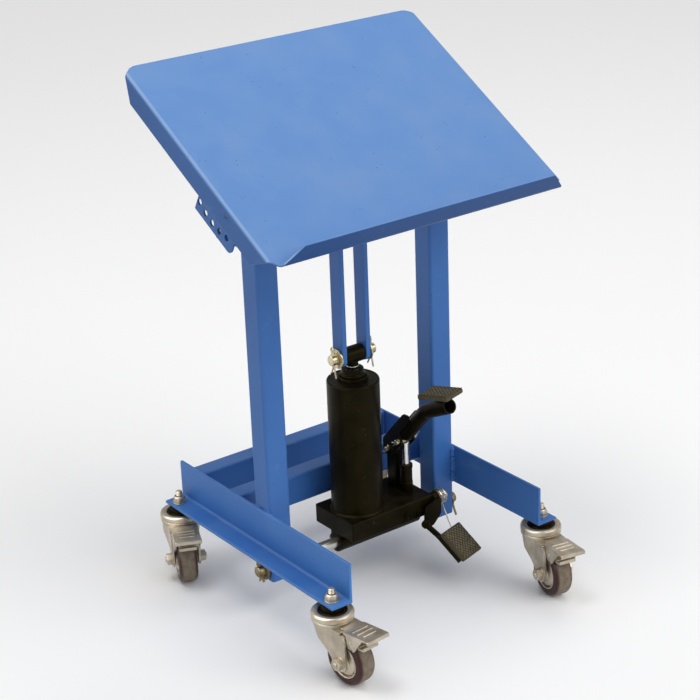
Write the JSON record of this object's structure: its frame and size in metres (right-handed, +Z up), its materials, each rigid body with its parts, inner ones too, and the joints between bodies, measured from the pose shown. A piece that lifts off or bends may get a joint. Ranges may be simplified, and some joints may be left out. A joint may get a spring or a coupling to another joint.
{
  "type": "mobile tilting work table",
  "caption": "Mobile work table with a tilting lipped steel top on telescopic posts, raised by a foot-pumped hydraulic ram, on braked swivel casters.",
  "frame": {"origin": "middle of the bounding box on the floor, between the wheels", "axes": "+Z up, +X to the operator's right, +Y away from the operator, who stands at the lip"},
  "size_m": [0.515, 0.5944, 0.8228],
  "materials": {
    "blue_paint": "semi-gloss powder coat",
    "black_paint": "satin enamel",
    "bright_zinc": "zinc plated",
    "chrome": "hard chrome",
    "brass": "yellow passivated",
    "pedal_rubber": "matt, ribbed",
    "satin_zinc": "satin nickel-zinc",
    "tyre": "moulded polyurethane"
  },
  "bodies": {
    "base": {"left_side_angle": "blue_paint", "right_side_angle": "blue_paint", "rear_cross_tube": "blue_paint", "middle_cross_tube": "blue_paint", "left_column": "blue_paint", "right_column": "blue_paint", "pump_shaft": "bright_zinc", "pump_block": "black_paint", "reservoir_tube": "black_paint", "pressure_cylinder": "bright_zinc", "cylinder_head": "black_paint", "pump_barrel": "black_paint", "fulcrum_post": "black_paint", "fulcrum_pin": "bright_zinc", "release_valve": "black_paint", "release_pin": "bright_zinc", "fl_caster_stem": "satin_zinc", "fr_caster_stem": "satin_zinc", "rl_caster_stem": "satin_zinc", "rr_caster_stem": "satin_zinc"},
    "ram_stage": {"ram_stage": "black_paint"},
    "lift": {"left_post": "blue_paint", "right_post": "blue_paint", "lift_beam": "blue_paint", "left_push_bar": "blue_paint", "right_push_bar": "blue_paint", "ram_rod": "chrome", "ram_pin": "bright_zinc", "left_pivot_bolt": "bright_zinc", "right_pivot_bolt": "bright_zinc"},
    "tilt_lock": {"tilt_lock_pin": "brass"},
    "top": {"tilt_top": "blue_paint", "left_sector": "blue_paint", "right_sector": "blue_paint"},
    "pump_pedal": {"pump_lever": "black_paint", "pump_pad": "pedal_rubber"},
    "pump_plunger": {"pump_plunger": "chrome"},
    "release_pedal": {"release_lever": "black_paint", "release_pad": "pedal_rubber"},
    "fl_swivel": {"fl_caster_fork": "satin_zinc", "fl_caster_axle": "bright_zinc"},
    "fl_wheel": {"fl_wheel_hub": "satin_zinc", "fl_wheel_tyre": "tyre"},
    "fl_brake": {"fl_brake_pedal": "satin_zinc"},
    "fr_swivel": {"fr_caster_fork": "satin_zinc", "fr_caster_axle": "bright_zinc"},
    "fr_wheel": {"fr_wheel_hub": "satin_zinc", "fr_wheel_tyre": "tyre"},
    "fr_brake": {"fr_brake_pedal": "satin_zinc"},
    "rl_swivel": {"rl_caster_fork": "satin_zinc", "rl_caster_axle": "bright_zinc"},
    "rl_wheel": {"rl_wheel_hub": "satin_zinc", "rl_wheel_tyre": "tyre"},
    "rl_brake": {"rl_brake_pedal": "satin_zinc"},
    "rr_swivel": {"rr_caster_fork": "satin_zinc", "rr_caster_axle": "bright_zinc"},
    "rr_wheel": {"rr_wheel_hub": "satin_zinc", "rr_wheel_tyre": "tyre"},
    "rr_brake": {"rr_brake_pedal": "satin_zinc"}
  },
  "joints": [
    {"name": "lift_slide", "type": "slide", "parent": "base", "child": "lift", "axis": [0, 0, 1], "range_m": [0, 0.35]},
    {"name": "ram_stage_slide", "type": "slide", "parent": "base", "child": "ram_stage", "axis": [0, 0, 1], "range_m": [0, 0.175]},
    {"name": "top_tilt", "type": "hinge", "parent": "lift", "child": "top", "pos_m": [0, 0, 0.703], "axis": [1, 0, 0], "range_deg": [-30, 10]},
    {"name": "lock_pin_slide", "type": "slide", "parent": "lift", "child": "tilt_lock", "axis": [1, 0, 0], "range_m": [-0.0038, 0.008]},
    {"name": "pump_pedal_hinge", "type": "hinge", "parent": "base", "child": "pump_pedal", "pos_m": [0.09, 0.0176, 0.187], "axis": [1, 0, 0], "range_deg": [0, 22], "stiffness_Nm_per_rad": 4, "springref_deg": -28.65},
    {"name": "pump_plunger_slide", "type": "slide", "parent": "base", "child": "pump_plunger", "axis": [0, 0, 1], "range_m": [-0.0112, 0]},
    {"name": "release_pedal_hinge", "type": "hinge", "parent": "base", "child": "release_pedal", "pos_m": [0.116, -0.0405, 0.1095], "axis": [1, 0, 0], "range_deg": [0, 10], "stiffness_Nm_per_rad": 2, "springref_deg": -17.19},
    {"name": "fl_swivel_hinge", "type": "hinge", "parent": "base", "child": "fl_swivel", "pos_m": [-0.197, -0.199, 0.09], "axis": [0, 0, 1], "continuous": true},
    {"name": "fl_wheel_hinge", "type": "hinge", "parent": "fl_swivel", "child": "fl_wheel", "pos_m": [-0.19386, -0.23486, 0.0375], "axis": [0.9962, 0.0872, 0], "continuous": true},
    {"name": "fl_brake_hinge", "type": "hinge", "parent": "fl_swivel", "child": "fl_brake", "pos_m": [-0.19299, -0.24482, 0.0778], "axis": [0.9962, 0.0872, 0], "range_deg": [0, 12]},
    {"name": "fr_swivel_hinge", "type": "hinge", "parent": "base", "child": "fr_swivel", "pos_m": [0.197, -0.199, 0.09], "axis": [0, 0, 1], "continuous": true},
    {"name": "fr_wheel_hinge", "type": "hinge", "parent": "fr_swivel", "child": "fr_wheel", "pos_m": [0.18951, -0.23421, 0.0375], "axis": [0.9781, -0.2079, 0], "continuous": true},
    {"name": "fr_brake_hinge", "type": "hinge", "parent": "fr_swivel", "child": "fr_brake", "pos_m": [0.18744, -0.24399, 0.0778], "axis": [0.9781, -0.2079, 0], "range_deg": [0, 12]},
    {"name": "rl_swivel_hinge", "type": "hinge", "parent": "base", "child": "rl_swivel", "pos_m": [-0.197, 0.199, 0.09], "axis": [0, 0, 1], "continuous": true},
    {"name": "rl_wheel_hinge", "type": "hinge", "parent": "rl_swivel", "child": "rl_wheel", "pos_m": [-0.21221, 0.16637, 0.0375], "axis": [0.9063, -0.4226, 0], "continuous": true},
    {"name": "rl_brake_hinge", "type": "hinge", "parent": "rl_swivel", "child": "rl_brake", "pos_m": [-0.21644, 0.15731, 0.0778], "axis": [0.9063, -0.4226, 0], "range_deg": [0, 12]},
    {"name": "rr_swivel_hinge", "type": "hinge", "parent": "base", "child": "rr_swivel", "pos_m": [0.197, 0.199, 0.09], "axis": [0, 0, 1], "continuous": true},
    {"name": "rr_wheel_hinge", "type": "hinge", "parent": "rr_swivel", "child": "rr_wheel", "pos_m": [0.20449, 0.23421, 0.0375], "axis": [-0.9781, 0.2079, 0], "continuous": true},
    {"name": "rr_brake_hinge", "type": "hinge", "parent": "rr_swivel", "child": "rr_brake", "pos_m": [0.20656, 0.24399, 0.0778], "axis": [-0.9781, 0.2079, 0], "range_deg": [0, 12]}
  ],
  "couplings": [
    {"joint": "ram_stage_slide", "follows": "lift_slide", "ratio": 0.5},
    {"joint": "pump_plunger_slide", "follows": "pump_pedal_hinge", "m_per_rad": -0.029}
  ]
}
